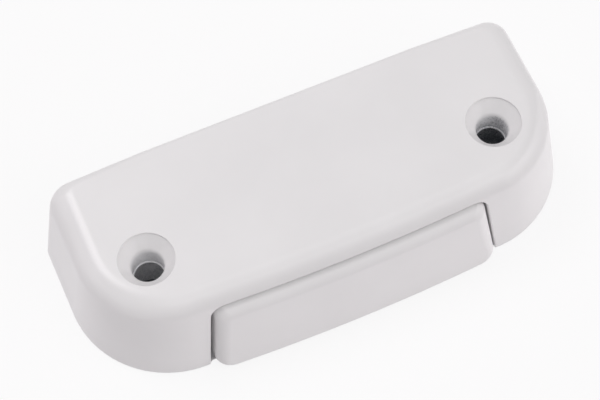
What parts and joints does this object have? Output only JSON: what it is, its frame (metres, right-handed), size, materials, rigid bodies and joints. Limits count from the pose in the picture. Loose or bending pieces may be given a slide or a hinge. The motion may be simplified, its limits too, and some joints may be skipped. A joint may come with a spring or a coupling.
{
  "type": "sliding sash lock",
  "caption": "Surface-mounted sliding sash lock: a rounded white die-cast body whose front push bar slides in on springs and swings a hook latch out of its keeper.",
  "frame": {"origin": "on the base plane, midway between the two mounting screws", "axes": "+X along the body, +Y towards the straight back edge where the hook comes out, +Z away from the sash"},
  "size_m": [0.0816, 0.0372, 0.0173],
  "materials": {
    "housing_coat": "white powder coat on die-cast zinc, satin",
    "bar_coat": "white powder coat on die-cast zinc, satin",
    "zinc_plate": "bright zinc plating on stamped and turned steel",
    "ground_steel": "ground pin steel",
    "spring_steel": "drawn spring wire and hardened strip",
    "hardened_steel": "blanked and hardened plate, dark",
    "bronze": "sintered bronze, oiled"
  },
  "bodies": {
    "housing": {"housing": "housing_coat", "base_plate": "zinc_plate", "plate_screw_1": "zinc_plate", "plate_screw_2": "zinc_plate", "plate_screw_3": "zinc_plate", "plate_screw_4": "zinc_plate", "latch_pivot_pin": "ground_steel", "thrust_washer": "bronze", "return_spring_left": "spring_steel", "return_spring_right": "spring_steel", "latch_spring": "spring_steel"},
    "push_bar": {"push_bar": "bar_coat", "drive_pin": "ground_steel", "guide_pin_left": "ground_steel", "guide_pin_right": "ground_steel", "retaining_clip_left": "spring_steel", "retaining_clip_right": "spring_steel"},
    "latch": {"latch_hook": "hardened_steel", "pivot_bush": "bronze"}
  },
  "joints": [
    {"name": "bar_slide", "type": "slide", "parent": "housing", "child": "push_bar", "axis": [0, 1, 0], "range_m": [0, 0.0032], "stiffness_N_per_m": 1200, "springref_m": -0.003, "deforming": ["return_spring_left", "return_spring_right"]},
    {"name": "latch_pivot", "type": "hinge", "parent": "housing", "child": "latch", "pos_m": [0, 0.007, 0], "axis": [0, 0, 1], "range_deg": [0, 16], "stiffness_Nm_per_rad": 0.05, "springref_deg": -20.05, "deforming": ["latch_spring"]}
  ],
  "couplings": [
    {"joint": "latch_pivot", "follows": "bar_slide", "rad_per_m": 87.266}
  ]
}
